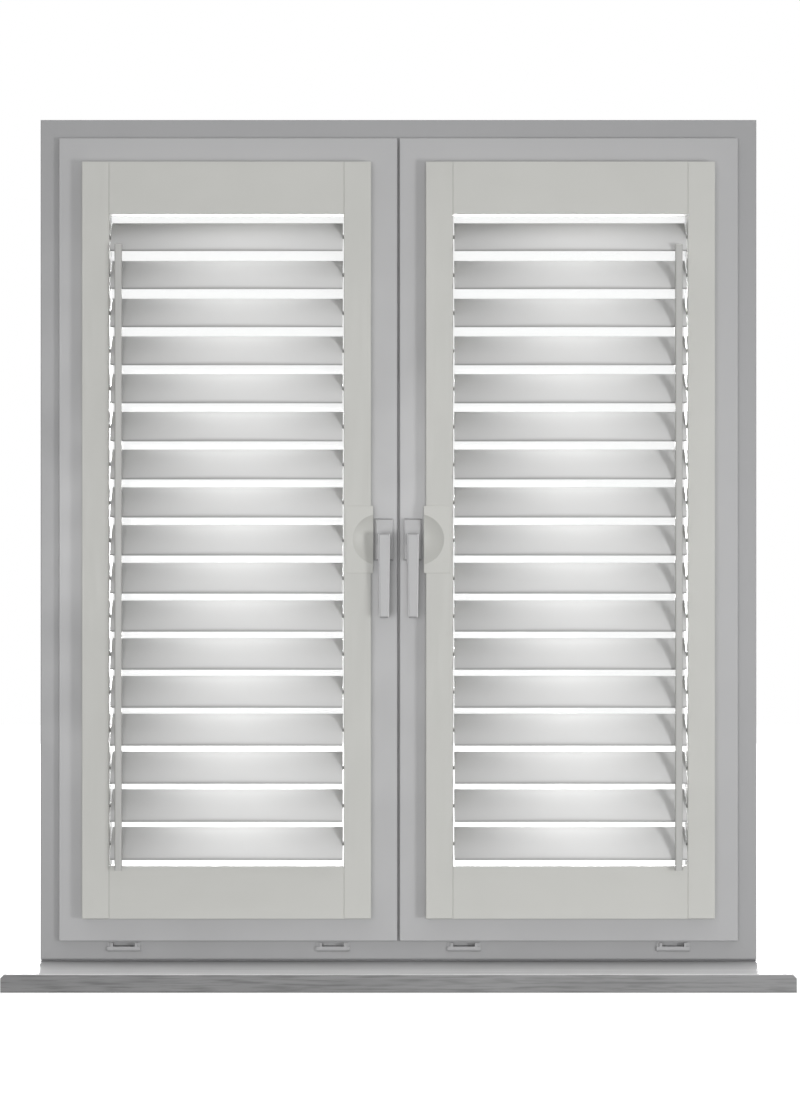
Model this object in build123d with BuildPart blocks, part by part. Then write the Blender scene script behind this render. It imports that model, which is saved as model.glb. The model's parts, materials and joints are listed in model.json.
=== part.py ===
from build123d import *

import os
from math import cos, radians, sin

os.makedirs("parts", exist_ok=True)

# A two-light window with a louvred shutter panel on each sash.
# X runs to the right as seen from the room, Y runs outdoors and Z is up.
# The origin is under the middle of the window board, in line with the frame's room face.
# Sizes are in millimetres and angles in degrees.

# Louvres and their tilt rod
louvre_count = 17
louvre_pitch = 57
louvre_width = 63.5
louvre_thickness = 11
louvre_edge = 2.5
louvre_tilt = 46
louvre_end_gap = 2
louvre_pin_radius = 3
louvre_pin_reach = 8
louvre_pin_sides = 8
rod_width = 11
rod_depth = 8
rod_edge_radius = 2.5
rod_overrun = 12
rod_inset = 15
staple_wire = 1
staple_reach = 4.25
staple_spread = 8
staple_root = 2

# Shutter panels
opening_width = 352
opening_end = 33
stile_width = 41
rail_height = 79
panel_thickness = 28
panel_edge = 0.8
joint_edge = 0.3

# Handle recess let into the meeting stile
recess_height = 101
recess_depth = 9.5
recess_face_proud = 0.2
recess_side_proud = 3
recess_stile_cover = 3
dish_radius = 38
dish_depth = 8
dish_offset = 9
recess_edge = 0.4

# Sashes
sash_gap = 3
sash_proud = 13
sash_depth = 70
sash_overlap = 8
sash_air = 6
sash_wall = 44
sash_stop_width = 16
sash_edge = 1.5
margin_meeting = 39.5
margin_hinge = 37.5
margin_top = 39
margin_bottom = 37

# Glazing
pane_thickness = 4
pane_cavity = 16
spacer_width = 8
spacer_inset = 3
glass_edge_gap = 3
glass_stop = 24
bead_width = 18
bead_slope = 7
bead_mitre_gap = 0.2

# Fixed frame
frame_face = 29
frame_depth = 70
frame_stop_cover = 8
frame_edge = 1.5
foot_height = 3
foot_setback = 8
seal_gap = 3.5
seal_width = 2
fixing_hole_radius = 4
fixing_inset = 250
fixing_stagger = 10
fixing_depth = 30

# Window board
board_thickness = 27
board_reach = 150
board_nose = 30
board_horn = 42.5
board_edge = 2
board_end_cut = 6

# Drain covers on the bottom member
cover_width = 50
cover_height = 13
cover_back = 2
cover_bar_height = 7.5
cover_bar_proud = 6
cover_rib_width = 4
cover_slot_width = 33
cover_drop = 3.5
cover_spacing = 316
drain_slot_depth = 12

# Hinges
hinge_length = 60
hinge_inset = 110
hinge_setback = 4
knuckle_radius = 3.5
knuckle_back_gap = 0.2
hinge_pin_radius = 2
leaf_thickness = 2
leaf_depth = 32
knuckle_base = 3
pocket_margin = 1

# Window handles
handle_inset = 20
plate_width = 27
plate_height = 63
plate_thickness = 10
plate_edge = 2
lever_length = 117
lever_top_width = 18.5
lever_end_width = 15.5
lever_thickness = 12
lever_edge = 2.5
lever_standoff = 48
neck_radius = 8
spindle_size = 7
spindle_reach = 30

# Clearances
pin_clearance = 0.08
hinge_clearance = 0.05
seal_clearance = 0.3
running_gap = 0.4
staple_clearance = 0.3
hole_end_gap = 0.5
spindle_clearance = 0.15
sealant_gap = 0.1

# Heights and depths that follow
opening_height = (louvre_count - 1) * louvre_pitch + 2 * opening_end
panel_width = opening_width + 2 * stile_width
panel_height = opening_height + 2 * rail_height
sash_width = panel_width + margin_meeting + margin_hinge
sash_height = panel_height + margin_top + margin_bottom

frame_bottom = board_thickness + foot_height
sash_bottom = frame_bottom + frame_face
sash_top = sash_bottom + sash_height
frame_top = sash_top + frame_face
panel_bottom = sash_bottom + margin_bottom
panel_top = panel_bottom + panel_height
opening_bottom = panel_bottom + rail_height
opening_top = opening_bottom + opening_height
louvre_top_axis = opening_top - opening_end
handle_axis = (sash_bottom + sash_top) / 2

sash_front = -sash_proud
sash_back = sash_front + sash_depth
flange_back = -seal_gap
stop_front = sash_back + seal_gap
panel_front = sash_front - panel_thickness
louvre_axis_y = (panel_front + sash_front) / 2

# Distances from the centre line that follow
sash_inner = sash_gap / 2
sash_outer = sash_inner + sash_width
frame_side = sash_outer + frame_face
light_inner = sash_inner + sash_overlap
light_outer = sash_outer - sash_overlap
panel_inner = sash_inner + margin_meeting
panel_outer = panel_inner + panel_width
opening_inner = panel_inner + stile_width
opening_outer = opening_inner + opening_width
jamb_width = frame_side - light_outer
jamb_middle = (frame_side + light_outer) / 2
handle_x = sash_inner + handle_inset
rod_x = opening_outer - rod_inset

# Insets from the sash's outer edge that follow
body_inset = sash_overlap + sash_air
bead_inset = body_inset + sash_wall
glass_inset = bead_inset + glass_edge_gap
stop_inset = bead_inset + sash_stop_width
glass_thickness = 2 * pane_thickness + pane_cavity
glass_back = sash_back - glass_stop
glass_front = glass_back - glass_thickness

# Drain covers that follow
cover_top = sash_bottom - cover_drop
cover_bottom = cover_top - cover_height
bar_top = cover_bottom + cover_bar_height
sash_middle = (sash_inner + sash_outer) / 2
cover_middles = [
    side * sash_middle + end * cover_spacing / 2
    for side in (-1, 1)
    for end in (-1, 1)
]

# Hinge axis that follows
hinge_x = sash_outer - hinge_setback
hinge_y = flange_back - knuckle_back_gap - knuckle_radius

# Rod and staples that follow
pivot_radius = louvre_width / 2 + staple_reach
pivot_y = louvre_axis_y - pivot_radius * cos(radians(louvre_tilt))
pivot_drop = pivot_radius * sin(radians(louvre_tilt))
staple_hole = staple_wire * 0.5**0.5 + staple_clearance
rod_back = pivot_y - staple_hole

hands = (("left", -1), ("right", 1))


def upright(y):
    """The upright plane at depth y: a sketch's x is X, its y is Z, and it extrudes to the room."""
    return Plane.XZ.offset(-y)


def panel(x_limits, z_limits, mode=Mode.ADD):
    """A rectangle between two X limits and two Z limits, in an upright sketch."""
    x_low, x_high = sorted(x_limits)
    z_low, z_high = z_limits
    with Locations(((x_low + x_high) / 2, (z_low + z_high) / 2)):
        Rectangle(x_high - x_low, z_high - z_low, mode=mode)


def sash_ring(side, inset, mode=Mode.ADD):
    """The sash's outline on one side of the window, moved in by an inset."""
    panel(
        (side * (sash_inner + inset), side * (sash_outer - inset)),
        (sash_bottom + inset, sash_top - inset),
        mode,
    )


def light_ring(side, inset, mode=Mode.ADD):
    """The frame's opening on one side of the window, moved in by an inset."""
    panel(
        (side * (light_inner + inset), side * (light_outer - inset)),
        (sash_bottom + sash_overlap + inset, sash_top - sash_overlap - inset),
        mode,
    )


def drain_slots():
    """The slots that the drain covers frame, in an upright sketch."""
    for middle in cover_middles:
        panel((middle - cover_slot_width / 2, middle + cover_slot_width / 2), (bar_top, cover_top))


hinge_heights = (sash_bottom + hinge_inset, sash_top - hinge_inset)
fixing_heights = (frame_bottom + fixing_inset, frame_top - fixing_inset)

# The fixed frame: a welded frame with a centre post, an outer stop and a low foot
with BuildPart() as window_frame:
    with BuildSketch(upright(frame_depth)):
        panel((-frame_side, frame_side), (frame_bottom, frame_top))
        for hand, side in hands:
            light_ring(side, sash_air + frame_stop_cover, Mode.SUBTRACT)
    extrude(amount=frame_depth)
    with BuildSketch(upright(stop_front)):
        for hand, side in hands:
            light_ring(side, 0)
    extrude(amount=stop_front, mode=Mode.SUBTRACT)
    # Weather seal on the stop's room side
    with BuildSketch(upright(stop_front)):
        for hand, side in hands:
            light_ring(side, sash_air + frame_stop_cover - 2 * seal_width)
            light_ring(side, sash_air + frame_stop_cover - seal_width, Mode.SUBTRACT)
    extrude(amount=seal_gap - seal_clearance)
    # Foot under the bottom member
    with BuildSketch(Plane.XY.offset(board_thickness)):
        with Locations((0, frame_depth / 2)):
            Rectangle(2 * frame_side, frame_depth - 2 * foot_setback)
    extrude(amount=foot_height)
    # Drain slots in the bottom member, behind the covers
    with BuildSketch(upright(drain_slot_depth)):
        drain_slots()
    extrude(amount=drain_slot_depth, mode=Mode.SUBTRACT)
    # Fixing holes through both jambs, staggered so that screws from two sides of a pier can't meet
    for hand, side in hands:
        for height in fixing_heights:
            hole_height = height + fixing_stagger * (1 + side) / 2
            with Locations(Location((side * jamb_middle, fixing_depth, hole_height), (0, 90, 0))):
                Cylinder(fixing_hole_radius, jamb_width + 1, mode=Mode.SUBTRACT)
    rim = window_frame.faces().filter_by(Plane.XZ).sort_by(Axis.Y)[0].outer_wire().edges()
    fillet(rim, radius=frame_edge)
window_frame.part.label = "window_frame"
export_step(window_frame.part, "parts/window_frame.step")

# The window board: a flat board, notched round the wall's corners to leave two horns, whose
# ends slope off at the top
with BuildPart() as window_board:
    with BuildSketch():
        with Locations((0, (frame_depth - board_reach) / 2)):
            Rectangle(2 * frame_side, frame_depth + board_reach)
        with Locations((0, board_nose / 2 - board_reach)):
            Rectangle(2 * (frame_side + board_horn), board_nose)
    extrude(amount=board_thickness)
    top_edges = window_board.edges().filter_by(Axis.Y).group_by(Axis.Z)[-1].sort_by(Axis.X)
    chamfer((top_edges[0], top_edges[-1]), length=board_end_cut)
    nose = window_board.edges().filter_by(Axis.X).group_by(Axis.Y)[0]
    fillet(nose, radius=board_edge)
window_board.part.label = "window_board"
export_step(window_board.part, "parts/window_board.step")

# Drain covers: a rounded bar and two ribs on a thin plate, round a slot that stays open
with BuildPart() as drain_covers:
    rib_x = (cover_slot_width + cover_rib_width) / 2
    for middle in cover_middles:
        with BuildSketch(upright(0)):
            panel((middle - cover_width / 2, middle + cover_width / 2), (cover_bottom, cover_top))
        extrude(amount=cover_back)
        with BuildSketch(upright(0)):
            panel((middle - cover_width / 2, middle + cover_width / 2), (cover_bottom, bar_top))
        extrude(amount=cover_bar_proud)
        with BuildSketch(upright(0)):
            for rib in (-1, 1):
                rib_middle = middle + rib * rib_x
                rib_sides = (rib_middle - cover_rib_width / 2, rib_middle + cover_rib_width / 2)
                panel(rib_sides, (bar_top, cover_top))
        extrude(amount=cover_bar_proud)
    with BuildSketch(upright(0)):
        drain_slots()
    extrude(amount=cover_back, mode=Mode.SUBTRACT)
    bar_edges = drain_covers.edges().filter_by(Axis.X).group_by(Axis.Z)[0].group_by(Axis.Y)[0]
    fillet(bar_edges, radius=cover_bar_proud / 2)
drain_covers.part.label = "drain_covers"
export_step(drain_covers.part, "parts/drain_covers.step")

# Frame hinges: leaves in the gap beside the sash, their knuckles and the pins
with BuildPart() as frame_hinges:
    for hand, side in hands:
        for height in hinge_heights:
            low = height - hinge_length / 2
            with Locations((side * hinge_x, hinge_y, low)):
                Cylinder(knuckle_radius, hinge_length / 2 - running_gap,
                         align=(Align.CENTER, Align.CENTER, Align.MIN))
            with BuildSketch(Plane.XY.offset(low)):
                with BuildLine():
                    Polyline(
                        (side * (light_outer - leaf_thickness), hinge_y),
                        (side * hinge_x, hinge_y),
                        (side * hinge_x, -running_gap),
                        (side * light_outer, -running_gap),
                        (side * light_outer, leaf_depth),
                        (side * (light_outer - leaf_thickness), leaf_depth),
                        close=True,
                    )
                make_face()
            extrude(amount=hinge_length / 2 - running_gap)
            with Locations((side * hinge_x, hinge_y, low + knuckle_base)):
                Cylinder(hinge_pin_radius + hinge_clearance, hinge_length,
                         align=(Align.CENTER, Align.CENTER, Align.MIN), mode=Mode.SUBTRACT)
            with Locations((side * hinge_x, hinge_y, low + knuckle_base + hinge_clearance)):
                Cylinder(hinge_pin_radius, hinge_length - 2 * knuckle_base,
                         align=(Align.CENTER, Align.CENTER, Align.MIN))
frame_hinges.part.label = "frame_hinges"
export_step(frame_hinges.part, "parts/frame_hinges.step")

for hand, side in hands:
    # The sash: a welded frame with a room-side flange, a glazing rebate and an outer stop
    with BuildPart() as sash:
        with BuildSketch(upright(flange_back)):
            sash_ring(side, 0)
        extrude(amount=flange_back - sash_front)
        with BuildSketch(upright(sash_back)):
            sash_ring(side, body_inset)
        extrude(amount=sash_back - flange_back)
        with BuildSketch(upright(glass_back)):
            sash_ring(side, bead_inset)
        extrude(amount=glass_back - sash_front, mode=Mode.SUBTRACT)
        with BuildSketch(upright(sash_back)):
            sash_ring(side, stop_inset)
        extrude(amount=sash_depth, mode=Mode.SUBTRACT)
        rim = sash.faces().filter_by(Plane.XZ).sort_by(Axis.Y)[0].outer_wire().edges()
        fillet(rim, radius=sash_edge)
        # Room-side seal on the back of the flange
        with BuildSketch(upright(-seal_clearance)):
            sash_ring(side, sash_overlap - seal_width)
            sash_ring(side, sash_overlap, Mode.SUBTRACT)
        extrude(amount=seal_gap - seal_clearance)
        # Pockets for the hinges, cut from behind so that the flange's face stays whole
        pocket_front = hinge_y - knuckle_radius - running_gap
        pocket_sides = (side * (sash_outer - body_inset), side * (sash_outer + sash_edge))
        with BuildSketch(upright(0)):
            for height in hinge_heights:
                half = hinge_length / 2 + pocket_margin
                panel(pocket_sides, (height - half, height + half))
        extrude(amount=-pocket_front, mode=Mode.SUBTRACT)
        # Bore for the spindle and its gear
        with Locations(Location((side * handle_x, sash_front, handle_axis), (-90, 0, 0))):
            Cylinder(spindle_size * 0.5**0.5 + spindle_clearance, spindle_reach + hole_end_gap,
                     align=(Align.CENTER, Align.CENTER, Align.MIN), mode=Mode.SUBTRACT)
    sash.part.label = f"{hand}_sash"
    export_step(sash.part, f"parts/{hand}_sash.step")

    # Sash hinges: leaves on the sash's edge with the knuckles that turn on the pins
    with BuildPart() as sash_hinges:
        leaf_root = sash_outer - body_inset
        for height in hinge_heights:
            with BuildSketch(Plane.XY.offset(height)):
                with BuildLine():
                    Polyline(
                        (side * leaf_root, pocket_front + running_gap),
                        (side * (leaf_root + leaf_thickness), pocket_front + running_gap),
                        (side * (leaf_root + leaf_thickness), hinge_y - leaf_thickness / 2),
                        (side * hinge_x, hinge_y - leaf_thickness / 2),
                        (side * hinge_x, hinge_y + leaf_thickness / 2),
                        (side * (leaf_root + leaf_thickness), hinge_y + leaf_thickness / 2),
                        (side * (leaf_root + leaf_thickness), leaf_depth),
                        (side * leaf_root, leaf_depth),
                        close=True,
                    )
                make_face()
            extrude(amount=hinge_length / 2)
            with Locations((side * hinge_x, hinge_y, height)):
                Cylinder(knuckle_radius, hinge_length / 2,
                         align=(Align.CENTER, Align.CENTER, Align.MIN))
                Cylinder(hinge_pin_radius + hinge_clearance, hinge_length / 2,
                         align=(Align.CENTER, Align.CENTER, Align.MIN), mode=Mode.SUBTRACT)
    sash_hinges.part.label = f"{hand}_sash_hinges"
    export_step(sash_hinges.part, f"parts/{hand}_sash_hinges.step")

    # The sealed unit: two panes with a spacer between them
    with BuildPart() as glazing_unit:
        for back in (glass_front + pane_thickness, glass_back):
            with BuildSketch(upright(back)):
                sash_ring(side, glass_inset)
            extrude(amount=pane_thickness)
        with BuildSketch(upright(glass_back - pane_thickness - sealant_gap)):
            sash_ring(side, glass_inset + spacer_inset)
            sash_ring(side, glass_inset + spacer_inset + spacer_width, Mode.SUBTRACT)
        extrude(amount=pane_cavity - 2 * sealant_gap)
    glazing_unit.part.label = f"{hand}_glazing_unit"
    export_step(glazing_unit.part, f"parts/{hand}_glazing_unit.step")

    # Glazing beads: four mitred strips with a sloped inner edge, pressed in round the glass
    with BuildPart() as glazing_beads:
        bead_inner = bead_inset + bead_width
        with BuildSketch(upright(glass_front)):
            sash_ring(side, bead_inset)
            sash_ring(side, bead_inner, Mode.SUBTRACT)
            for x in (sash_inner, sash_outer):
                for z in (sash_bottom, sash_top):
                    slant = 45 if (x == sash_inner) == (z == sash_bottom) else -45
                    in_x = bead_inset if x == sash_inner else -bead_inset
                    in_z = bead_inset if z == sash_bottom else -bead_inset
                    with Locations(Location((side * (x + in_x), z + in_z), side * slant)):
                        Rectangle(4 * bead_width, bead_mitre_gap, mode=Mode.SUBTRACT)
        extrude(amount=glass_front - sash_front)
        with BuildSketch(upright(sash_front)):
            sash_ring(side, bead_inner - bead_slope)
        with BuildSketch(upright(sash_front + bead_slope)):
            sash_ring(side, bead_inner)
        loft(mode=Mode.SUBTRACT)
    glazing_beads.part.label = f"{hand}_glazing_beads"
    export_step(glazing_beads.part, f"parts/{hand}_glazing_beads.step")

    # The handle's plate, with the round hole that the lever's neck turns in
    with BuildPart() as handle_plate:
        with BuildSketch(upright(sash_front)):
            with Locations((side * handle_x, handle_axis)):
                Rectangle(plate_width, plate_height)
                Circle(neck_radius + pin_clearance, mode=Mode.SUBTRACT)
        extrude(amount=plate_thickness)
        front = handle_plate.faces().filter_by(Plane.XZ).sort_by(Axis.Y)[0]
        chamfer(front.outer_wire().edges(), length=plate_edge)
    handle_plate.part.label = f"{hand}_handle_plate"
    export_step(handle_plate.part, f"parts/{hand}_handle_plate.step")

    # The handle's lever: a tapered grip, a round neck and a square spindle
    with BuildPart() as handle_lever:
        lever_back = sash_front - lever_standoff
        lever_top = handle_axis + lever_top_width / 2
        lever_end = handle_axis - lever_length
        with BuildSketch(upright(lever_back)):
            with BuildLine():
                Polyline(
                    (side * handle_x - lever_top_width / 2, lever_top),
                    (side * handle_x + lever_top_width / 2, lever_top),
                    (side * handle_x + lever_end_width / 2, lever_end),
                    (side * handle_x - lever_end_width / 2, lever_end),
                    close=True,
                )
            make_face()
        extrude(amount=lever_thickness)
        grip_front = handle_lever.faces().filter_by(Plane.XZ).sort_by(Axis.Y)[0]
        chamfer(grip_front.edges(), length=lever_edge)
        neck_back = sash_front - running_gap
        with BuildSketch(upright(neck_back)):
            with Locations((side * handle_x, handle_axis)):
                Circle(neck_radius)
        extrude(amount=neck_back - lever_back)
        with BuildSketch(upright(sash_front + spindle_reach)):
            with Locations((side * handle_x, handle_axis)):
                Rectangle(spindle_size, spindle_size)
        extrude(amount=spindle_reach + running_gap)
    handle_lever.part.label = f"{hand}_handle_lever"
    export_step(handle_lever.part, f"parts/{hand}_handle_lever.step")

    # The stiles: full-height boards with a row of holes for the louvre pins
    recess_sides = (side * panel_inner, side * (opening_inner - recess_stile_cover))
    recess_heights = (handle_axis - recess_height / 2, handle_axis + recess_height / 2)
    for place, edge, away in (("meeting", opening_inner, -1), ("hinge", opening_outer, 1)):
        with BuildPart() as stile:
            with BuildSketch(upright(sash_front)):
                panel((side * edge, side * (edge + away * stile_width)), (panel_bottom, panel_top))
            extrude(amount=panel_thickness)
            front = stile.faces().filter_by(Plane.XZ).sort_by(Axis.Y)[0]
            chamfer(front.edges(), length=panel_edge)
            if place == "meeting":
                with BuildSketch(upright(panel_front + recess_depth)):
                    panel(recess_sides, recess_heights)
                extrude(amount=recess_depth, mode=Mode.SUBTRACT)
            with BuildSketch(Plane.YZ.offset(side * edge)):
                for number in range(louvre_count):
                    with Locations((louvre_axis_y, louvre_top_axis - number * louvre_pitch)):
                        RegularPolygon(louvre_pin_radius + pin_clearance, louvre_pin_sides,
                                       major_radius=False)
            extrude(amount=side * away * (louvre_pin_reach + hole_end_gap), mode=Mode.SUBTRACT)
        stile.part.label = f"{hand}_{place}_stile"
        export_step(stile.part, f"parts/{hand}_{place}_stile.step")

    # The rails: a top and a bottom board between the stiles
    with BuildPart() as rails:
        with BuildSketch(upright(sash_front)):
            panel((side * opening_inner, side * opening_outer), (panel_bottom, opening_bottom))
            panel((side * opening_inner, side * opening_outer), (opening_top, panel_top))
        extrude(amount=panel_thickness)
        for front in rails.faces().filter_by(Plane.XZ).group_by(Axis.Y)[0]:
            chamfer(front.edges(), length=joint_edge)
    rails.part.label = f"{hand}_rails"
    export_step(rails.part, f"parts/{hand}_rails.step")

    # The handle recess: a moulded insert, hollowed to a shallow dish that clears the hand
    with BuildPart() as handle_recess:
        recess_front = panel_front - recess_face_proud
        recess_outline = (side * (panel_inner - recess_side_proud), recess_sides[1])
        with BuildSketch(upright(panel_front + recess_depth)):
            panel(recess_outline, recess_heights)
        extrude(amount=recess_depth + recess_face_proud)
        front = handle_recess.faces().filter_by(Plane.XZ).sort_by(Axis.Y)[0]
        chamfer(front.edges(), length=recess_edge)
        ball_radius = (dish_radius**2 + dish_depth**2) / (2 * dish_depth)
        ball_y = recess_front + dish_depth - ball_radius
        with Locations((side * (handle_x + dish_offset), ball_y, handle_axis)):
            Sphere(ball_radius, mode=Mode.SUBTRACT)
    handle_recess.part.label = f"{hand}_handle_recess"
    export_step(handle_recess.part, f"parts/{hand}_handle_recess.step")

    # The tilt rod: a rounded bar with a staple round each louvre's staple
    with BuildPart() as tilt_rod:
        rod_top = louvre_top_axis - pivot_drop + rod_overrun
        rod_length = (louvre_count - 1) * louvre_pitch + 2 * rod_overrun
        with BuildSketch(Plane.XY.offset(rod_top - rod_length)):
            with Locations((side * rod_x, rod_back - rod_depth / 2)):
                rod_section = Rectangle(rod_width, rod_depth)
            fillet(rod_section.vertices().group_by(Axis.Y)[0], radius=rod_edge_radius)
        extrude(amount=rod_length)
        for number in range(louvre_count):
            height = louvre_top_axis - number * louvre_pitch - pivot_drop
            with BuildSketch(Plane.YZ.offset(side * rod_x)):
                staple_back = pivot_y + staple_hole + staple_wire
                with Locations(((rod_back - staple_wire + staple_back) / 2, height)):
                    Rectangle(staple_back - rod_back + staple_wire, 2 * (staple_hole + staple_wire))
                with Locations((pivot_y, height)):
                    Rectangle(2 * staple_hole, 2 * staple_hole, mode=Mode.SUBTRACT)
            extrude(amount=staple_wire / 2, both=True)
    tilt_rod.part.label = f"{hand}_tilt_rod"
    export_step(tilt_rod.part, f"parts/{hand}_tilt_rod.step")

    # The louvres: curved blades with a pin at each end and a staple at the room edge
    louvre_length = opening_width - 2 * louvre_end_gap
    louvre_start = min(side * opening_inner, side * opening_outer) + louvre_end_gap
    pin_length = louvre_length + 2 * (louvre_end_gap + louvre_pin_reach)
    across = (0, cos(radians(louvre_tilt)), sin(radians(louvre_tilt)))
    slope = (0, -sin(radians(louvre_tilt)), cos(radians(louvre_tilt)))
    half_width = louvre_width / 2
    half_edge = louvre_edge / 2
    for number in range(louvre_count):
        height = louvre_top_axis - number * louvre_pitch
        axis_start = (louvre_start, louvre_axis_y, height)
        axis_middle = (louvre_start + louvre_length / 2, louvre_axis_y, height)
        with BuildPart() as louvre:
            with BuildSketch(Plane(origin=axis_start, x_dir=across, z_dir=(1, 0, 0))):
                with BuildLine():
                    for face in (-1, 1):
                        ThreePointArc(
                            (-half_width, face * half_edge),
                            (0, face * louvre_thickness / 2),
                            (half_width, face * half_edge),
                        )
                        Line((face * half_width, -half_edge), (face * half_width, half_edge))
                make_face()
            extrude(amount=louvre_length)
            with BuildSketch(Plane(origin=axis_middle, x_dir=(0, 1, 0), z_dir=(1, 0, 0))):
                RegularPolygon(louvre_pin_radius, louvre_pin_sides)
            extrude(amount=pin_length / 2, both=True)
            pivot = (side * rod_x, pivot_y, height - pivot_drop)
            with BuildSketch(Plane(origin=pivot, x_dir=(1, 0, 0), z_dir=slope)):
                leg_end = staple_reach + staple_root
                with Locations((0, (leg_end - staple_wire / 2) / 2)):
                    Rectangle(staple_spread + staple_wire, leg_end + staple_wire / 2)
                with Locations((0, (leg_end + staple_wire / 2) / 2)):
                    Rectangle(staple_spread - staple_wire, leg_end - staple_wire / 2,
                              mode=Mode.SUBTRACT)
            extrude(amount=staple_wire / 2, both=True)
        louvre.part.label = f"{hand}_louvre_{number + 1:02d}"
        export_step(louvre.part, f"parts/{hand}_louvre_{number + 1:02d}.step")
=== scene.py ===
import json
from math import cos, pi, radians, sin

import bmesh
import bpy
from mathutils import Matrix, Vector


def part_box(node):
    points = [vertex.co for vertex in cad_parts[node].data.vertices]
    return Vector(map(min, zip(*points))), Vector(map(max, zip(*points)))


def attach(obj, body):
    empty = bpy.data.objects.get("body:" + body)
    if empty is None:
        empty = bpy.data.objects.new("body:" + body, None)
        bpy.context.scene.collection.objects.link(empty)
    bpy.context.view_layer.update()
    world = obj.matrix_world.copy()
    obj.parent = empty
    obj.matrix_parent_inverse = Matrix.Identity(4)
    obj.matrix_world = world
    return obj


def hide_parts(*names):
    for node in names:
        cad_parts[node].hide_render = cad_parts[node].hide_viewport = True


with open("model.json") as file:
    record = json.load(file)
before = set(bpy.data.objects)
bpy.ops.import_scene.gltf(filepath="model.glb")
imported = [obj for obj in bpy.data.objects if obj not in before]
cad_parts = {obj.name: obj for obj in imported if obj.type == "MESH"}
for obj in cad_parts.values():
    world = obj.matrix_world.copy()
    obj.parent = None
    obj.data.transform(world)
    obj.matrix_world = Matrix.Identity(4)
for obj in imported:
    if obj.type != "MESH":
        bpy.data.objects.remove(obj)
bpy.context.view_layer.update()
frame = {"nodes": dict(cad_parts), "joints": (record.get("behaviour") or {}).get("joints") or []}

scene = bpy.context.scene
scene.view_settings.view_transform = "Standard"

# How the window is seen: square to the glass from across a room, at the height of its handles.
# The view is that of a long lens, and the glass stands a little left of the picture's middle.
VIEW_DISTANCE = 4.841
VIEW_HEIGHT = 0.6493
PHOTO_HEIGHT = 1100
FOCAL_PIXELS = 3200
CENTRE_PIXEL_OFFSET = 1.5
camera_data = bpy.data.cameras.new("camera")
camera = bpy.data.objects.new("camera", camera_data)
scene.collection.objects.link(camera)
camera.location = (0, -VIEW_DISTANCE, VIEW_HEIGHT)
camera.rotation_euler = (radians(90), 0, 0)
camera_data.lens = camera_data.sensor_width * FOCAL_PIXELS / PHOTO_HEIGHT
camera_data.shift_x = CENTRE_PIXEL_OFFSET / PHOTO_HEIGHT
scene.camera = camera

# The room around it: pale walls, lighter overhead, white where they are looked at. A lamp stands
# to the right, a broad one behind the viewer, and the bright open air is behind the glass.


class Wire:
    """A node socket that takes part in Python sums and grows new nodes."""

    def __init__(self, socket):
        self.socket = socket
        self.tree = socket.id_data

    def node(self, kind, settings=None, inputs=None, output=0):
        """A new node beside this one, set up and fed, as one of its outputs."""
        made = self.tree.nodes.new(kind)
        for name, value in (settings or {}).items():
            setattr(made, name, value)
        for name, value in (inputs or {}).items():
            for one in value if isinstance(value, list) else [value]:
                if isinstance(one, Wire):
                    self.tree.links.new(one.socket, made.inputs[name])
                else:
                    made.inputs[name].default_value = one
        return Wire(made.outputs[output])

    def sum(self, operation, *values):
        return self.node("ShaderNodeMath", {"operation": operation}, dict(enumerate(values)))

    def __add__(self, other):
        return self.sum("ADD", self, other)

    __radd__ = __add__

    def __sub__(self, other):
        return self.sum("SUBTRACT", self, other)

    def __rsub__(self, other):
        return self.sum("SUBTRACT", other, self)

    def __mul__(self, other):
        return self.sum("MULTIPLY", self, other)

    __rmul__ = __mul__

    def __abs__(self):
        return self.sum("ABSOLUTE", self)

    def least(self, other):
        return self.sum("MINIMUM", self, other)

    def most(self, other):
        return self.sum("MAXIMUM", self, other)

    def over(self, limit):
        return self.sum("GREATER_THAN", self, limit)

    def under(self, limit):
        return self.sum("LESS_THAN", self, limit)

    def between(self, low, high):
        return self.over(low) * self.under(high)

    def fade(self, start, end, low=0.0, high=1.0):
        """Goes evenly from low to high as the value goes from start to end."""
        ends = {"From Min": start, "From Max": end, "To Min": low, "To Max": high}
        return self.node("ShaderNodeMapRange", None, {"Value": self, **ends})

    def noise(self, scale, stretch=(1, 1, 1), detail=3.0):
        """Cloudy variation about 0.5 at this place, drawn out along an axis by a small stretch."""
        placed = self.node("ShaderNodeMapping", None, {"Vector": self, "Scale": stretch})
        return self.node("ShaderNodeTexNoise", None, {"Vector": placed, "Scale": scale, "Detail": detail})

    def axes(self):
        return [self.node("ShaderNodeSeparateXYZ", None, {0: self}, axis) for axis in range(3)]

    def mix(self, first, second):
        """Goes from the first colour or wire to the second with this value."""
        made = self.tree.nodes.new("ShaderNodeMix")
        made.data_type = "RGBA"
        sockets = {s.name: s for s in made.inputs if s.type == "RGBA"}
        self.tree.links.new(self.socket, made.inputs["Factor"])
        for name, value in (("A", first), ("B", second)):
            if isinstance(value, Wire):
                self.tree.links.new(value.socket, sockets[name])
            else:
                sockets[name].default_value = (*value, 1)
        return Wire(next(s for s in made.outputs if s.type == "RGBA"))


def looked_at(light_path):
    """1 where the camera looks, also through glass or in a gloss, and 0 for light on the object."""
    direct = Wire(light_path.outputs["Is Camera Ray"])
    seen = direct.most(Wire(light_path.outputs["Is Transmission Ray"]))
    return seen.most(Wire(light_path.outputs["Is Glossy Ray"]))


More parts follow.
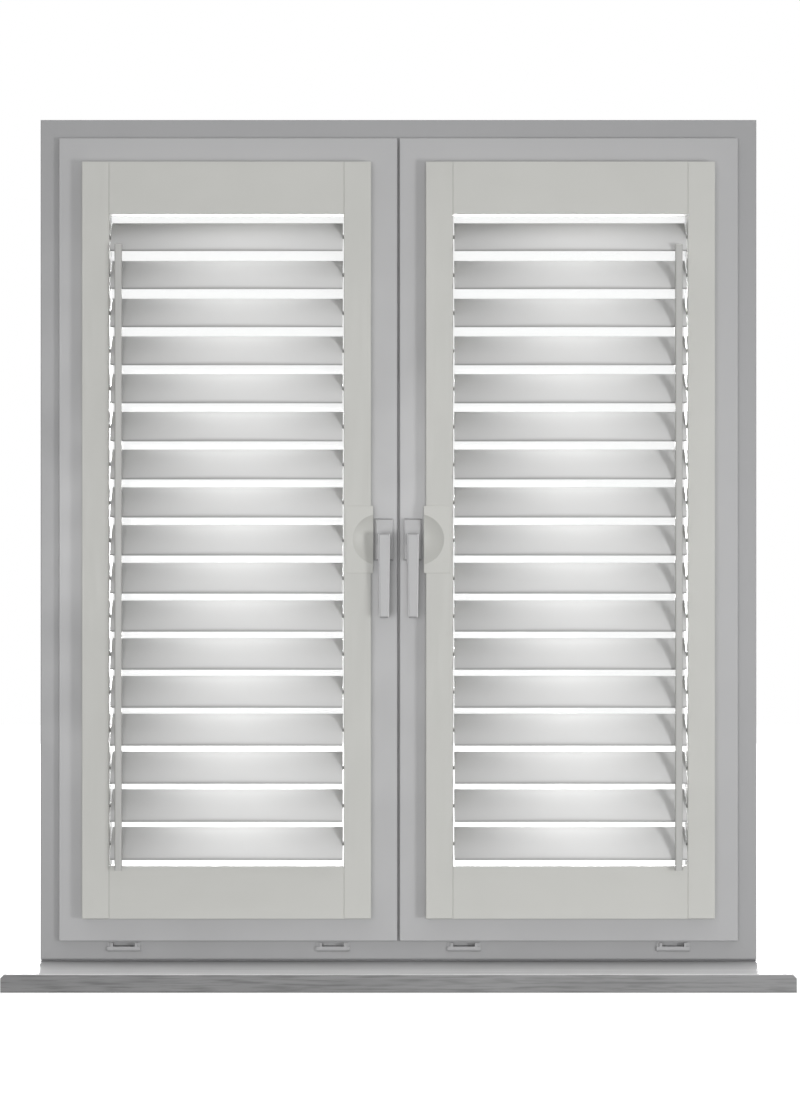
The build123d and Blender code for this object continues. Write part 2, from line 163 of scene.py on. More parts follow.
WALL_LIGHT = 0.28
CEILING_LIGHT = 0.8
BACKDROP_WHITE = 1.0
LAMP_AIM = Vector((0, 0, 0.66))
world = bpy.data.worlds.new("pale_room")
scene.world = world
world.use_nodes = True
room_tree = world.node_tree
room_shader = room_tree.nodes["Background"]
room_shader.inputs["Color"].default_value = (1, 1, 1, 1)
room_seen = looked_at(room_tree.nodes.new("ShaderNodeLightPath"))
towards = Wire(room_tree.nodes.new("ShaderNodeTexCoord").outputs["Generated"])
upwards = towards.axes()[2].most(0)
room_light = upwards * upwards * CEILING_LIGHT + WALL_LIGHT
room_strength = room_light + room_seen * (BACKDROP_WHITE - room_light)
room_tree.links.new(room_strength.socket, room_shader.inputs["Strength"])
for lamp_name, place, width, height, spread, power in (
    ("side_lamp", (2.2, -3.7, 0.35), 0.7, 0.7, 180, 50),
    ("room_lamp", (-0.4, -5.4, 0.25), 2.0, 2.0, 180, 132),
    ("open_air", (0, 6.0, 0.75), 2.4, 1.3, 120, 160),
):
    lamp_data = bpy.data.lights.new(lamp_name, "AREA")
    lamp_data.shape = "RECTANGLE"
    lamp_data.size = width
    lamp_data.size_y = height
    lamp_data.spread = radians(spread)
    lamp_data.energy = power
    lamp = bpy.data.objects.new(lamp_name, lamp_data)
    scene.collection.objects.link(lamp)
    lamp.location = place
    lamp.visible_camera = False
    lamp.rotation_euler = (LAMP_AIM - Vector(place)).to_track_quat("-Z", "Y").to_euler()

# The window board: a pressed board in grey laminate that carries the frame. It is notched round
# the corners of the opening, and its top is painted darker towards the frame, as painted shade.


def new_finish(name, colour, roughness, **constants):
    """A Principled material, its shader, and its Object coordinates as a Wire."""
    material = bpy.data.materials.new(name)
    material.use_nodes = True
    shader = material.node_tree.nodes["Principled BSDF"]
    shader.inputs["Base Color"].default_value = (*colour, 1)
    shader.inputs["Roughness"].default_value = roughness
    for socket, value in constants.items():
        shader.inputs[socket.replace("_", " ")].default_value = value
    coordinates = material.node_tree.nodes.new("ShaderNodeTexCoord")
    return material, shader, Wire(coordinates.outputs["Object"])


def feed(shader, **wires):
    """Links values that vary over the surface to the shader's sockets."""
    for socket, wire in wires.items():
        shader.id_data.links.new(wire.socket, shader.inputs[socket.replace("_", " ")])


def raised(height, strength, distance):
    """A Normal from a height between 0 and 1, for a relief that deep in metres."""
    sockets = {"Height": height, "Strength": strength, "Distance": distance}
    return height.node("ShaderNodeBump", None, sockets)


def dress(node, material):
    """Gives a CAD node its finish."""
    mesh = frame["nodes"][node].data
    mesh.materials.clear()
    mesh.materials.append(material)


def scaled(colour, factor):
    return tuple(factor * channel for channel in colour)


BOARD_TOP = (0.80, 0.80, 0.805)
BOARD_SHADE_NEAR_FRAME = (0.42, 0.42, 0.425)
BOARD_SHADE_UNDER_FRAME = (0.06, 0.06, 0.06)
BOARD_NOSE_SHADED = (0.25, 0.25, 0.252)
STREAK_SCALE = 46
STREAK_STRETCH = (0.06, 1, 1)
FINE_STREAK_SCALE = 300
FINE_STREAK_STRETCH = (0.05, 1, 1)
STREAK_DEPTH = 0.0002
SHADE_FADE_REACH = 0.04
FRAME_LINE = 0.0005
NOSE_FACE = 0.0012
NOSE_BLEND = 0.0008
board_low, board_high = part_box("window_board")
board_finish, board_shader, at = new_finish("board_laminate", BOARD_TOP, 0.42)
across, depth, height = at.axes()
streaks = at.noise(STREAK_SCALE, STREAK_STRETCH, 6.0).fade(0.45, 0.7)
fine_streaks = at.noise(FINE_STREAK_SCALE, FINE_STREAK_STRETCH, 4.0).fade(0.45, 0.75)
# Painted shade: the top goes from a darker grey near the frame to its own grey towards the room.
top_colour = depth.fade(-0.02, board_low.y + SHADE_FADE_REACH).mix(BOARD_SHADE_NEAR_FRAME, BOARD_TOP)
grain_shade = streaks * 0.35 + fine_streaks * 0.25
top_colour = grain_shade.mix(top_colour, scaled(BOARD_TOP, 0.72))
# Painted shade: the nose is painted much darker than the top, and darker at its left end than at its
# right, as light from the right would leave it. The streaks are the laminate's own.
nose_streaks_and_painted_light = streaks * 0.3 + fine_streaks * 0.95 + across.fade(board_low.x, board_high.x, 0.35, -0.2)
shaded_nose_colour = nose_streaks_and_painted_light.mix(BOARD_NOSE_SHADED, scaled(BOARD_NOSE_SHADED, 0.5))
# Painted shade: the board under the frame, its back edge too, is painted near black for the dark joint
# line.
top_colour = depth.over(FRAME_LINE).mix(top_colour, BOARD_SHADE_UNDER_FRAME)
on_nose = depth.fade(board_low.y + NOSE_FACE, board_low.y + NOSE_FACE - NOSE_BLEND)
on_nose = on_nose * height.under(board_high.z - NOSE_BLEND)
feed(board_shader,
     Base_Color=on_nose.mix(top_colour, shaded_nose_colour),
     Roughness=streaks.fade(0, 1, 0.38, 0.5),
     Normal=raised(fine_streaks, 0.25, STREAK_DEPTH))
dress("window_board", board_finish)

# The fixed frame: white window profile, mitred and welded at its corners, with a centre post
# behind the two sashes. The welds show as fine seams. The seal on its stop is grey rubber. The low
# foot that it stands on is painted the same grey, as painted shade in the joint above the board.
FRAME_TONE = (0.33, 0.33, 0.335)
SEAL_TONE = (0.20, 0.20, 0.205)
NOISE_SPAN = (0.3, 0.7)
WELD_WIDTH = 0.0004
WELD_REACH = 0.09
MOTTLE_SCALE = 9
DRAW_LINE_SCALE = 900
DRAW_LINE_DEPTH = 0.0002
STOP_FACE = 0.0605
SEAL_DEPTH = 0.0032
SEAL_MARGIN = 0.0001
SEAL_INSET = 0.036
FOOT_HEIGHT = 0.0029
frame_low, frame_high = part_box("window_frame")


def profile_finish(name, tone, low, high):
    """Extruded white profile whose lines follow each member and meet in a weld at the corners."""
    material, shader, at = new_finish(name, tone, 0.34)
    x, _, z = at.axes()
    from_side = (high.x - low.x) / 2 - abs(x - (low.x + high.x) / 2)
    from_end = (z - low.z).least(high.z - z)
    inwards = from_side.least(from_end)
    weld = abs(from_side - from_end).under(WELD_WIDTH) * inwards.under(WELD_REACH)
    draw_lines = {"W": inwards, "Scale": DRAW_LINE_SCALE, "Detail": 2}
    lines = inwards.node("ShaderNodeTexNoise", {"noise_dimensions": "1D"}, draw_lines)
    mottle = at.noise(MOTTLE_SCALE, detail=2.0)
    tinted = (weld * 0.35 + mottle.fade(0.4, 0.7, 0, 0.3)).mix(tone, scaled(tone, 0.93))
    feed(shader,
         Roughness=mottle.fade(*NOISE_SPAN, 0.3, 0.4),
         Normal=raised(lines * 0.12 + (1 - weld) * 0.6, 0.3, DRAW_LINE_DEPTH))
    return material, shader, at, tinted


frame_finish, frame_shader, at, frame_colour = profile_finish(
    "frame_profile", FRAME_TONE, frame_low, frame_high)
x, y, z = at.axes()
# Painted shade: the foot takes the seal's grey to darken the joint under the frame.
shaded_foot = z.under(frame_low.z + FOOT_HEIGHT)
inside_height = (z - frame_low.z - SEAL_INSET).least(frame_high.z - SEAL_INSET - z)
inside = (frame_high.x - SEAL_INSET - abs(x)).least(inside_height)
on_seal = y.between(STOP_FACE - SEAL_DEPTH, STOP_FACE - SEAL_MARGIN) * inside.over(0)
feed(frame_shader, Base_Color=on_seal.most(shaded_foot).mix(frame_colour, SEAL_TONE))
dress("window_frame", frame_finish)

# The drain covers: small clips moulded in white plastic, snapped on the face of the frame's bottom
# member over the slots that let rain water out.
COVER_TONE = (0.40, 0.40, 0.405)
MOULDED_GRAIN_SCALE = 1600
MOULDED_GRAIN_DEPTH = 0.0001
cover_finish, cover_shader, at = new_finish("cover_moulding", COVER_TONE, 0.4)
sparkle = at.noise(MOULDED_GRAIN_SCALE, detail=1.0)
feed(cover_shader,
     Base_Color=sparkle.mix(COVER_TONE, scaled(COVER_TONE, 0.94)),
     Normal=raised(sparkle, 0.2, MOULDED_GRAIN_DEPTH))
dress("drain_covers", cover_finish)

# The hinges: leaves and knuckles of zinc-plated steel between each sash and the frame, two to a
# sash, turning on loose pins.
ZINC_DARK = (0.36, 0.36, 0.37)
ZINC_LIGHT = (0.5, 0.5, 0.51)
PLATING_SCALE = 500
UPRIGHT_BRUSHING = (1, 1, 0.08)
zinc_finish, zinc_shader, at = new_finish("hinge_zinc", ZINC_LIGHT, 0.35, Metallic=1.0)
plating = at.noise(PLATING_SCALE, UPRIGHT_BRUSHING, 3.0)
feed(zinc_shader,
     Base_Color=plating.mix(ZINC_DARK, ZINC_LIGHT),
     Roughness=plating.fade(*NOISE_SPAN, 0.28, 0.45))
for node in ("frame_hinges", "left_sash_hinges", "right_sash_hinges"):
    dress(node, zinc_finish)

# The sashes: the same white profile, welded at the corners, with a seal behind the flange.
# The glass is held by four clipped strips of the same white, mitred at their corners.
SASH_TONE = (0.415, 0.415, 0.42)
FLANGE_SEAL = (-0.00345, -0.0002)
for hand in ("left", "right"):
    sash_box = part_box(f"{hand}_sash")
    sash_finish, sash_shader, at, sash_colour = profile_finish(
        f"{hand}_sash_profile", SASH_TONE, *sash_box)
    on_seal = at.axes()[1].between(*FLANGE_SEAL)
    feed(sash_shader, Base_Color=on_seal.mix(sash_colour, SEAL_TONE))
    dress(f"{hand}_sash", sash_finish)
    bead_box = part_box(f"{hand}_glazing_beads")
    bead_finish, bead_shader, _, bead_colour = profile_finish(
        f"{hand}_bead_profile", SASH_TONE, *bead_box)
    feed(bead_shader, Base_Color=bead_colour)
    dress(f"{hand}_glazing_beads", bead_finish)

# The sealed units: two clear panes glued on a grey spacer frame, with dry air between them. The
# clipped strips hold each unit in its sash.
PANE_TINT = (0.90, 0.95, 0.93)
SPACER_TONE = (0.42, 0.43, 0.44)
PANE_THICKNESS = 0.004
PANE_MARGIN = 0.00005
PANE_ALPHA = 0.05
for hand in ("left", "right"):
    unit_low, unit_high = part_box(f"{hand}_glazing_unit")
    unit_finish, unit_shader, at = new_finish(f"{hand}_sealed_unit", PANE_TINT, 0.03)
    pane_depth = PANE_THICKNESS + PANE_MARGIN
    on_spacer = at.axes()[1].between(unit_low.y + pane_depth, unit_high.y - pane_depth)
    feed(unit_shader,
         Base_Color=on_spacer.mix(PANE_TINT, SPACER_TONE),
         Roughness=on_spacer.fade(0, 1, 0.03, 0.4),
         Alpha=on_spacer.fade(0, 1, PANE_ALPHA, 1))
    dress(f"{hand}_glazing_unit", unit_finish)

# The shutter panels: two stiles and two rails of painted wood, butted and glued at the corners.
# The paint is a warm white, and a little of the grain shows through along each board.
PANEL_TONE = (0.54, 0.54, 0.512)
UPRIGHT_GRAIN = (1, 1, 0.04)
LEVEL_GRAIN = (0.04, 1, 1)
WOOD_GRAIN_SCALE = 260
PAINT_CLOUD_SCALE = 7
WOOD_GRAIN_DEPTH = 0.0002
for place, direction in (
    ("hinge_stile", UPRIGHT_GRAIN),
    ("meeting_stile", UPRIGHT_GRAIN),
    ("rails", LEVEL_GRAIN),
):
    for hand in ("left", "right"):
        panel_finish, panel_shader, at = new_finish(f"{hand}_{place}_paint", PANEL_TONE, 0.45)
        grain = at.noise(WOOD_GRAIN_SCALE, direction, 4.0)
        clouds = at.noise(PAINT_CLOUD_SCALE, detail=2.0).fade(0.35, 0.65)
        feed(panel_shader,
             Base_Color=clouds.mix(PANEL_TONE, scaled(PANEL_TONE, 0.965)),
             Roughness=grain.fade(*NOISE_SPAN, 0.4, 0.52),
             Normal=raised(grain, 0.15, WOOD_GRAIN_DEPTH))
        dress(f"{hand}_{place}", panel_finish)

# The handle recesses: plastic inserts moulded in the paint's colour and glued into the pockets of
# the meeting stiles. Each has a round dish that leaves room for the fingers.
RECESS_TONE = (0.535, 0.535, 0.505)
RECESS_FLOW_SCALE = 9
RECESS_GRAIN_SCALE = 1500
RECESS_GRAIN_DEPTH = 0.0001
recess_finish, recess_shader, at = new_finish("recess_moulding", RECESS_TONE, 0.42)
moulding = at.noise(RECESS_GRAIN_SCALE, detail=1.0)
flow_marks = at.noise(RECESS_FLOW_SCALE, detail=2.0)
feed(recess_shader,
     Base_Color=flow_marks.mix(RECESS_TONE, scaled(RECESS_TONE, 0.97)),
     Normal=raised(moulding, 0.12, RECESS_GRAIN_DEPTH))
for hand in ("left", "right"):
    dress(f"{hand}_handle_recess", recess_finish)

# The window handles: a flat plate, and a cast metal lever with soft edges on a round neck, both
# powder-coated. The neck turns in the plate, and its square spindle goes into the sash. Faces
# turned part way to the sides, as on the lever's rounded long edges, are painted lighter as a
# painted highlight.
HANDLE_TONE = (0.365, 0.365, 0.37)
HIGHLIGHT_FACING = (0.3, 0.95)
EDGE_PAINTED_HIGHLIGHT = 1.75
COAT_GRAIN_SCALE = 900
COAT_GRAIN_DEPTH = 0.0001
GRIP_TOP_WIDTH = 0.0185
GRIP_END_WIDTH = 0.0155
GRIP_THICKNESS = 0.012
GRIP_EDGE = 0.0028
GRIP_EDGE_STEPS = 4
NECK_RADIUS = 0.008
NECK_FLARE = 0.0009
NECK_SIDES = 40
NECK_OVERLAP = 0.0005
NECK_COLLAR = 0.0015
NECK_TAPER_END = 0.0040
NECK_GAP = 0.0004
SPINDLE_SIZE = 0.007
SPINDLE_REACH = 0.030
SPINDLE_ROOT = 0.001
SASH_FACE = -0.013
handle_finish, handle_shader, at = new_finish("handle_powder_coat", HANDLE_TONE, 0.32)
facing_side = Wire(at.socket.node.outputs["Normal"]).axes()[0]
# Painted highlight: faces turned part way to the sides are painted lighter.
long_edge_highlight = abs(facing_side).between(*HIGHLIGHT_FACING)
orange_peel = at.noise(COAT_GRAIN_SCALE, detail=1.0)
feed(handle_shader,
     Base_Color=long_edge_highlight.mix(HANDLE_TONE, scaled(HANDLE_TONE, EDGE_PAINTED_HIGHLIGHT)),
     Roughness=orange_peel.fade(*NOISE_SPAN, 0.28, 0.38),
     Normal=raised(orange_peel, 0.12, COAT_GRAIN_DEPTH))


def block(mesh, corners):
    """Adds a closed six-sided block: four corners of one end, then the four across from them."""
    made = [mesh.verts.new(corner) for corner in corners]
    for face in ((0, 1, 2, 3), (7, 6, 5, 4), (0, 4, 5, 1), (1, 5, 6, 2), (2, 6, 7, 3), (3, 7, 4, 0)):
        mesh.faces.new([made[index] for index in face])


def turned(mesh, centre_x, centre_z, stations, sides):
    """Adds a closed round solid along Y through the given (depth, radius) stations."""
    rings = [[mesh.verts.new((centre_x + radius * cos(2 * pi * step / sides), depth,
                              centre_z + radius * sin(2 * pi * step / sides)))
              for step in range(sides)] for depth, radius in stations]
    for first, second in zip(rings, rings[1:]):
        for step in range(sides):
            after = (step + 1) % sides
            mesh.faces.new((first[step], first[after], second[after], second[step])).smooth = True
    mesh.faces.new(rings[0])
    mesh.faces.new(rings[-1])


for hand in ("left", "right"):
    dress(f"{hand}_handle_plate", handle_finish)
    lever_low, lever_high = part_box(f"{hand}_handle_lever")
    middle = (lever_low.x + lever_high.x) / 2
    grip_back = lever_low.y + GRIP_THICKNESS
    turning_height = lever_high.z - GRIP_TOP_WIDTH / 2
    mesh = bmesh.new()
    block(mesh, [
        (middle + reach * width / 2, depth, height)
        for depth in (lever_low.y, grip_back)
        for reach, width, height in (
            (-1, GRIP_END_WIDTH, lever_low.z),
            (1, GRIP_END_WIDTH, lever_low.z),
            (1, GRIP_TOP_WIDTH, lever_high.z),
            (-1, GRIP_TOP_WIDTH, lever_high.z),
        )
    ])
    bmesh.ops.bevel(mesh, geom=list(mesh.edges), offset=GRIP_EDGE, segments=GRIP_EDGE_STEPS,
                    profile=0.5, affect="EDGES", clamp_overlap=True)
    for face in mesh.faces:
        face.smooth = face.calc_area() < GRIP_EDGE * GRIP_TOP_WIDTH
    turned(mesh, middle, turning_height, (
        (grip_back - NECK_OVERLAP, NECK_RADIUS + NECK_FLARE),
        (grip_back + NECK_COLLAR, NECK_RADIUS + NECK_FLARE),
        (grip_back + NECK_TAPER_END, NECK_RADIUS),
        (SASH_FACE - NECK_GAP, NECK_RADIUS),
    ), NECK_SIDES)
    half = SPINDLE_SIZE / 2
    block(mesh, [
        (middle + right * half, depth, turning_height + up * half)
        for depth in (SASH_FACE - SPINDLE_ROOT, SASH_FACE + SPINDLE_REACH)
        for right, up in ((-1, -1), (1, -1), (1, 1), (-1, 1))
    ])
    bmesh.ops.recalc_face_normals(mesh, faces=mesh.faces)
    lever_mesh = bpy.data.meshes.new(f"{hand}_lever")
    mesh.to_mesh(lever_mesh)
    mesh.free()
    lever = bpy.data.objects.new(f"{hand}_lever", lever_mesh)
    scene.collection.objects.link(lever)
    lever_mesh.materials.append(handle_finish)
    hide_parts(f"{hand}_handle_lever")
    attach(lever, f"{hand}_handle")

# The louvres: painted wood blades of a slim oval section that turn on a pin at each end. A wire
# staple in the room edge of each blade is linked to the tilt rod. The blades are painted much
# paler than the panels as painted light, darker towards the room edge as painted shade, and
# darkest on the nose of that edge as painted shade.
LOUVRE_COUNT = 17
# Painted light: the blades' paint is made far paler than the panels' own paint.
LOUVRE_TONE_WITH_PAINTED_LIGHT = (0.92, 0.92, 0.915)
BLADE_SHADE_TONE = (0.75, 0.75, 0.745)
BLADE_SHADE_FACING = (-0.15, 0.2)
LIP_PAINTED_SHADE = (0.40, 0.40, 0.395)
LIP_SHADE_FACING = (0.22, 0.5)
BLADE_GRAIN_SCALE = 200
BLADE_GRAIN_STRETCH = (0.03, 1, 1)
BLADE_GRAIN_DEPTH = 0.0002
BLADE_CLOUD_SCALE = 6
BLADE_CLOUD_STRETCH = (0.4, 1, 1)
BLADE_CLOUD_SHADE = 0.04
BLADE = {"Length": 0.348, "Width": 0.0635, "Thickness": 0.011, "Nose": 0.0046, "Tilt": radians(46)}
PINS = {"Pin Radius": 0.003, "Pin Reach": 0.010, "Pin Root": 0.004}
STAPLE = {"Wire": 0.001, "Staple Spread": 0.008, "Staple Reach": 0.00425, "Staple Root": 0.003}
WIRE_GRAIN_SCALE = 1200
WIRE_SIDES = 10
WIRE_BEND = 0.8
WIRE_BEND_STEPS = 4
BLADE_SIDES = 48
PIN_SIDES = 20
louvre_finish, louvre_shader, at = new_finish("louvre_paint", LOUVRE_TONE_WITH_PAINTED_LIGHT, 0.38)
blade_grain = at.noise(BLADE_GRAIN_SCALE, BLADE_GRAIN_STRETCH, 3.0)
_, facing_y, facing_z = Wire(at.socket.node.outputs["Normal"]).axes()
facing_room_edge = 0 - facing_y * cos(BLADE["Tilt"]) - facing_z * sin(BLADE["Tilt"])
# Painted shade: the face is painted darker as it turns towards the room edge.
blade_paint_and_painted_shade = facing_room_edge.fade(*BLADE_SHADE_FACING).mix(LOUVRE_TONE_WITH_PAINTED_LIGHT, BLADE_SHADE_TONE)
blade_clouds = at.noise(BLADE_CLOUD_SCALE, BLADE_CLOUD_STRETCH, 2.0) * BLADE_CLOUD_SHADE
blade_paint_and_painted_shade = blade_clouds.mix(blade_paint_and_painted_shade, LIP_PAINTED_SHADE)
# Painted shade: the nose of the room edge is painted dark grey.
feed(louvre_shader,
     Base_Color=facing_room_edge.fade(*LIP_SHADE_FACING).mix(blade_paint_and_painted_shade, LIP_PAINTED_SHADE),
     Roughness=blade_grain.fade(*NOISE_SPAN, 0.33, 0.45),
     Normal=raised(blade_grain, 0.12, BLADE_GRAIN_DEPTH))
staple_finish, staple_shader, at = new_finish("staple_wire", ZINC_LIGHT, 0.3, Metallic=1.0)
drawn = at.noise(WIRE_GRAIN_SCALE, detail=2.0)
feed(staple_shader,
     Base_Color=drawn.mix(ZINC_DARK, ZINC_LIGHT),
     Roughness=drawn.fade(*NOISE_SPAN, 0.25, 0.4))


class Pattern:
    """A Geometry Nodes tree under construction, with a named input for each of its sizes."""

    def __init__(self, name):
        self.tree = bpy.data.node_groups.new(name, "GeometryNodeTree")
        self.entry = self.tree.nodes.new("NodeGroupInput")
        self.tree.interface.new_socket("Geometry", in_out="OUTPUT", socket_type="NodeSocketGeometry")

    def take(self, kind, *names):
        """New inputs of one kind, Float, Vector, Int or Material, as wires."""
        for name in names:
            self.tree.interface.new_socket(name, in_out="INPUT", socket_type="NodeSocket" + kind)
        return [Wire(self.entry.outputs[name]) for name in names]

    def give(self, parts):
        """Joins the parts as the tree's result."""
        exit_node = self.tree.nodes.new("NodeGroupOutput")
        joined = parts[0].node("GeometryNodeJoinGeometry", None, {"Geometry": parts})
        self.tree.links.new(joined.socket, exit_node.inputs["Geometry"])

    def make(self, name, sizes):
        """Runs the tree with these sizes and gives its result as a plain mesh object."""
        made = bpy.data.objects.new(name, bpy.data.meshes.new(name + "_start"))
        scene.collection.objects.link(made)
        modifier = made.modifiers.new("pattern", "NODES")
        modifier.node_group = self.tree
        for item in self.tree.interface.items_tree:
            if item.in_out == "INPUT":
                modifier[item.identifier] = sizes[item.name]
        evaluated = made.evaluated_get(bpy.context.evaluated_depsgraph_get())
        made_mesh = bpy.data.meshes.new_from_object(evaluated)
        made.modifiers.clear()
        made.data = made_mesh
        made_mesh.name = name
        return made


def vector(x, y, z, near):
    """A vector wire from numbers or wires, in the tree of the wire beside it."""
    return near.node("ShaderNodeCombineXYZ", None, {"X": x, "Y": y, "Z": z})


def wire_ring(width, height, wire, steel):
    """A closed loop of round wire with bent corners, flat in X and Y, in the given material."""
    loop = width.node("GeometryNodeCurvePrimitiveQuadrilateral", None, {
        "Width": width, "Height": height})
    soft = loop.node("GeometryNodeFilletCurve", {"mode": "POLY"}, {
        "Curve": loop, "Count": WIRE_BEND_STEPS, "Radius": wire * WIRE_BEND})
    round_wire = wire.node("GeometryNodeCurvePrimitiveCircle", None, {
        "Resolution": WIRE_SIDES, "Radius": wire * 0.5})
    swept = soft.node("GeometryNodeCurveToMesh", None, {"Curve": soft, "Profile Curve": round_wire})
    return finished(swept, steel)


def finished(shape, material):
    """Realizes a shape and gives it its material."""
    real = shape.node("GeometryNodeRealizeInstances", None, {"Geometry": shape})
    return real.node("GeometryNodeSetMaterial", None, {"Geometry": real, "Material": material})


louvre_pattern = Pattern("louvre_blade")
axis_place, = louvre_pattern.take("Vector", "Axis")
length, width, thickness, nose, tilt = louvre_pattern.take(
    "Float", "Length", "Width", "Thickness", "Nose", "Tilt")
pin_radius, pin_reach, pin_root = louvre_pattern.take("Float", "Pin Radius", "Pin Reach", "Pin Root")
wire, spread, reach, root, staple_x = louvre_pattern.take(
    "Float", "Wire", "Staple Spread", "Staple Reach", "Staple Root", "Staple Place")
paint, steel = louvre_pattern.take("Material", "Paint", "Steel")
stick = {"Vertices": BLADE_SIDES, "Side Segments": 1, "Radius": 1.0, "Depth": 1.0}
round_bar = length.node("GeometryNodeMeshCylinder", {"fill_type": "NGON"}, stick, "Mesh")
bar_side = Wire(round_bar.socket.node.outputs["Side"])
circle_x, circle_y, along = length.node("GeometryNodeInputPosition").axes()
rise = circle_y * (nose + (thickness * 0.5 - nose) * circle_y * circle_y)
section = vector(along * length, circle_x * width * 0.5, rise, length)
blade = round_bar.node("GeometryNodeSetPosition", None, {"Geometry": round_bar, "Position": section})
blade = blade.node("GeometryNodeSetShadeSmooth", None, {
    "Geometry": blade, "Selection": bar_side, "Shade Smooth": True})
pin_stick = {"Vertices": PIN_SIDES, "Radius": pin_radius, "Depth": pin_reach + pin_root}
pin = length.node("GeometryNodeMeshCylinder", {"fill_type": "NGON"}, pin_stick, "Mesh")
pin = pin.node("GeometryNodeTransform", None, {"Geometry": pin, "Rotation": (0, pi / 2, 0)})
pin_place = length * 0.5 + (pin_reach - pin_root) * 0.5
two_ends = length.node("GeometryNodeMeshLine", {"mode": "OFFSET"}, {
    "Count": 2, "Start Location": vector(0 - pin_place, 0, 0, length),
    "Offset": vector(pin_place * 2, 0, 0, length)})
pins = two_ends.node("GeometryNodeInstanceOnPoints", None, {"Points": two_ends, "Instance": pin})
ring = wire_ring(spread, reach + root, wire, steel)
ring_middle = vector(staple_x, (root - reach) * 0.5 - width * 0.5, 0, length)
ring = ring.node("GeometryNodeTransform", None, {"Geometry": ring, "Translation": ring_middle})
flat_louvre = length.node("GeometryNodeJoinGeometry", None, {
    "Geometry": [finished(blade, paint), finished(pins, paint), ring]})
louvre_pattern.give([length.node("GeometryNodeTransform", None, {
    "Geometry": flat_louvre, "Translation": axis_place, "Rotation": vector(tilt, 0, 0, length)})])

louvre_axes = {joint["child"]: Vector(joint["pos_m"]) for joint in frame["joints"]}
for hand in ("left", "right"):
    rod_low, rod_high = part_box(f"{hand}_tilt_rod")
    rod_x = (rod_low.x + rod_high.x) / 2
    for number in range(1, LOUVRE_COUNT + 1):
        name = f"{hand}_louvre_{number:02d}"
        low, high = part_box(name)
        axis = Vector(((low.x + high.x) / 2, louvre_axes[name].y, louvre_axes[name].z))
        blade_piece = louvre_pattern.make(name + "_blade", {
            "Axis": axis, "Staple Place": rod_x - axis.x, "Paint": louvre_finish, "Steel": staple_finish,
            **BLADE, **PINS, **STAPLE})
        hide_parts(name)
        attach(blade_piece, name)

# The tilt rods: a slim rounded bar in the panel's paint, with a staple for each louvre's staple.
ROD_TONE = (0.455, 0.455, 0.44)
ROD_WIDTH = 0.011
ROD_DEPTH = 0.008
ROD_EDGE = 0.0024
ROD_EDGE_STEPS = 5
ROD_GRAIN_SCALE = 220
ROD_GRAIN_STRETCH = (1, 1, 0.03)
ROD_GRAIN_DEPTH = 0.0002
WELD_DISTANCE = 0.00001
ROD_STAPLE_HOLE = 0.001007
rod_finish, rod_shader, at = new_finish("rod_paint", ROD_TONE, 0.42)
rod_grain = at.noise(ROD_GRAIN_SCALE, ROD_GRAIN_STRETCH, 3.0)
feed(rod_shader,
     Base_Color=rod_grain.mix(ROD_TONE, scaled(ROD_TONE, 0.95)),
     Roughness=rod_grain.fade(*NOISE_SPAN, 0.36, 0.48),
     Normal=raised(rod_grain, 0.12, ROD_GRAIN_DEPTH))

rod_pattern = Pattern("tilt_rod")
bottom, first_staple = rod_pattern.take("Vector", "Bottom", "First Staple")
length, width, depth, edge, pitch, hole, wire = rod_pattern.take(
    "Float", "Length", "Width", "Depth", "Edge", "Pitch", "Hole", "Wire")
count, = rod_pattern.take("Int", "Count")
paint, steel = rod_pattern.take("Material", "Paint", "Steel")
outline = width.node("GeometryNodeCurvePrimitiveQuadrilateral", None, {"Width": width, "Height": depth})
outline = outline.node("GeometryNodeFilletCurve", {"mode": "POLY"}, {
    "Curve": outline, "Count": ROD_EDGE_STEPS, "Radius": edge})
base = outline.node("GeometryNodeFillCurve", {"mode": "NGONS"}, {"Curve": outline})
bar = base.node("GeometryNodeExtrudeMesh", None, {
    "Mesh": base, "Offset Scale": length, "Individual": False}, "Mesh")
closing = base.node("GeometryNodeFlipFaces", None, {"Mesh": base})
bar = bar.node("GeometryNodeJoinGeometry", None, {"Geometry": [bar, closing]})
bar = bar.node("GeometryNodeMergeByDistance", None, {"Geometry": bar, "Distance": WELD_DISTANCE})
bar = bar.node("GeometryNodeTransform", None, {"Geometry": bar, "Translation": bottom})
staple = wire_ring(hole * 2 + wire, hole * 2 + wire, wire, steel)
staple = staple.node("GeometryNodeTransform", None, {"Geometry": staple, "Rotation": (0, pi / 2, 0)})
row = width.node("GeometryNodeMeshLine", {"mode": "OFFSET"}, {
    "Count": count, "Start Location": first_staple, "Offset": vector(0, 0, 0 - pitch, width)})
staples = row.node("GeometryNodeInstanceOnPoints", None, {"Points": row, "Instance": staple})
rod_pattern.give([finished(bar, paint), finished(staples, steel)])

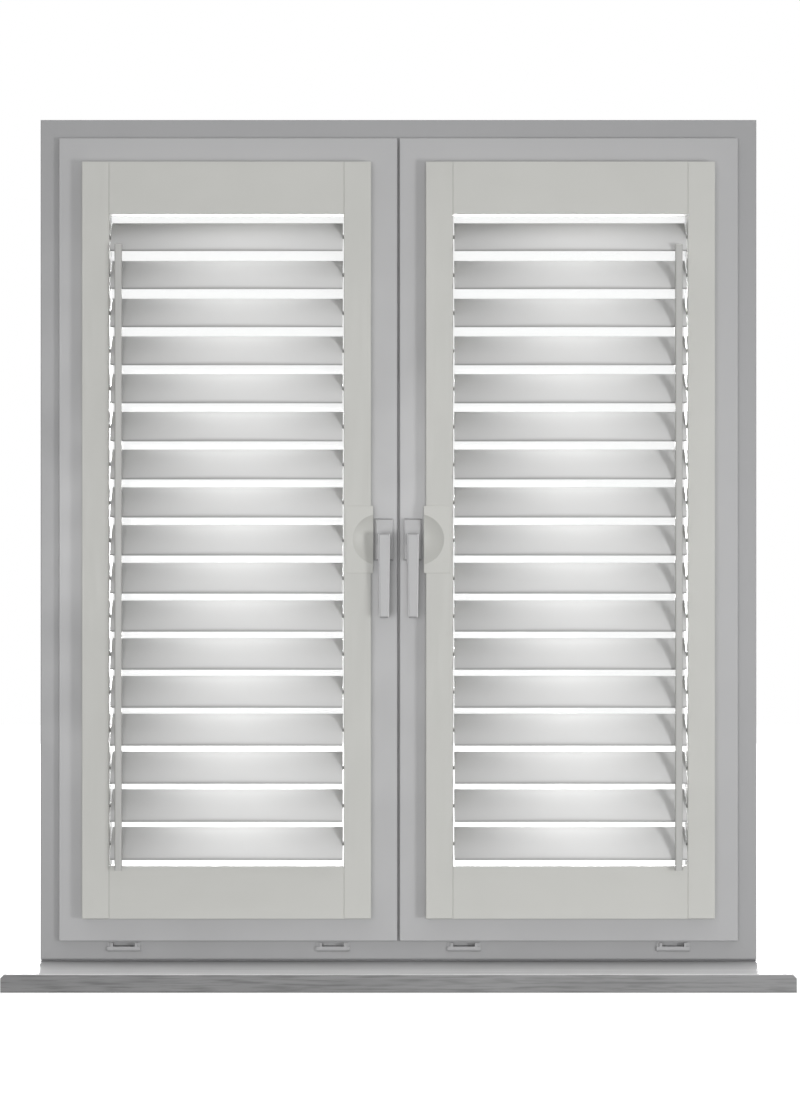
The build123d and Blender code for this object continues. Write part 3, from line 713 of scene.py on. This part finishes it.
for hand in ("left", "right"):
    rod_low, rod_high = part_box(f"{hand}_tilt_rod")
    rod_x = (rod_low.x + rod_high.x) / 2
    axis_heights = [louvre_axes[f"{hand}_louvre_{number:02d}"].z for number in (1, 2)]
    pivot_reach = BLADE["Width"] / 2 + STAPLE["Staple Reach"]
    axis = louvre_axes[f"{hand}_louvre_01"]
    pivot_depth = axis.y - pivot_reach * cos(BLADE["Tilt"])
    pivot = Vector((rod_x, pivot_depth, axis.z - pivot_reach * sin(BLADE["Tilt"])))
    rod = rod_pattern.make(f"{hand}_rod", {
        "Bottom": Vector((rod_x, rod_low.y + ROD_DEPTH / 2, rod_low.z)), "First Staple": pivot,
        "Length": rod_high.z - rod_low.z, "Width": ROD_WIDTH, "Depth": ROD_DEPTH, "Edge": ROD_EDGE,
        "Pitch": axis_heights[0] - axis_heights[1], "Hole": ROD_STAPLE_HOLE, "Wire": STAPLE["Wire"],
        "Count": LOUVRE_COUNT, "Paint": rod_finish, "Steel": staple_finish})
    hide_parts(f"{hand}_tilt_rod")
    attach(rod, f"{hand}_tilt_rod")

# The floor: a plain white sheet under the board, which keeps the window's soft shadow. Its colour
# is lifted to white only where it is looked at, so that it throws little light on the window.
FLOOR_SIZE = 14
FLOOR_TONE = (0.22, 0.22, 0.22)
FLOOR_LIFT = 0.86
floor_mesh = bpy.data.meshes.new("floor")
half = FLOOR_SIZE / 2
floor_corners = [(-half, -half, 0), (half, -half, 0), (half, half, 0), (-half, half, 0)]
floor_mesh.from_pydata(floor_corners, [], [(0, 1, 2, 3)])
floor = bpy.data.objects.new("floor", floor_mesh)
scene.collection.objects.link(floor)
floor_finish, floor_shader, _ = new_finish("floor_paper", FLOOR_TONE, 0.9)
floor_seen = looked_at(floor_finish.node_tree.nodes.new("ShaderNodeLightPath"))
feed(floor_shader, Emission_Color=floor_seen.mix((0, 0, 0), (FLOOR_LIFT,) * 3))
floor_shader.inputs["Emission Strength"].default_value = 1
floor_mesh.materials.append(floor_finish)
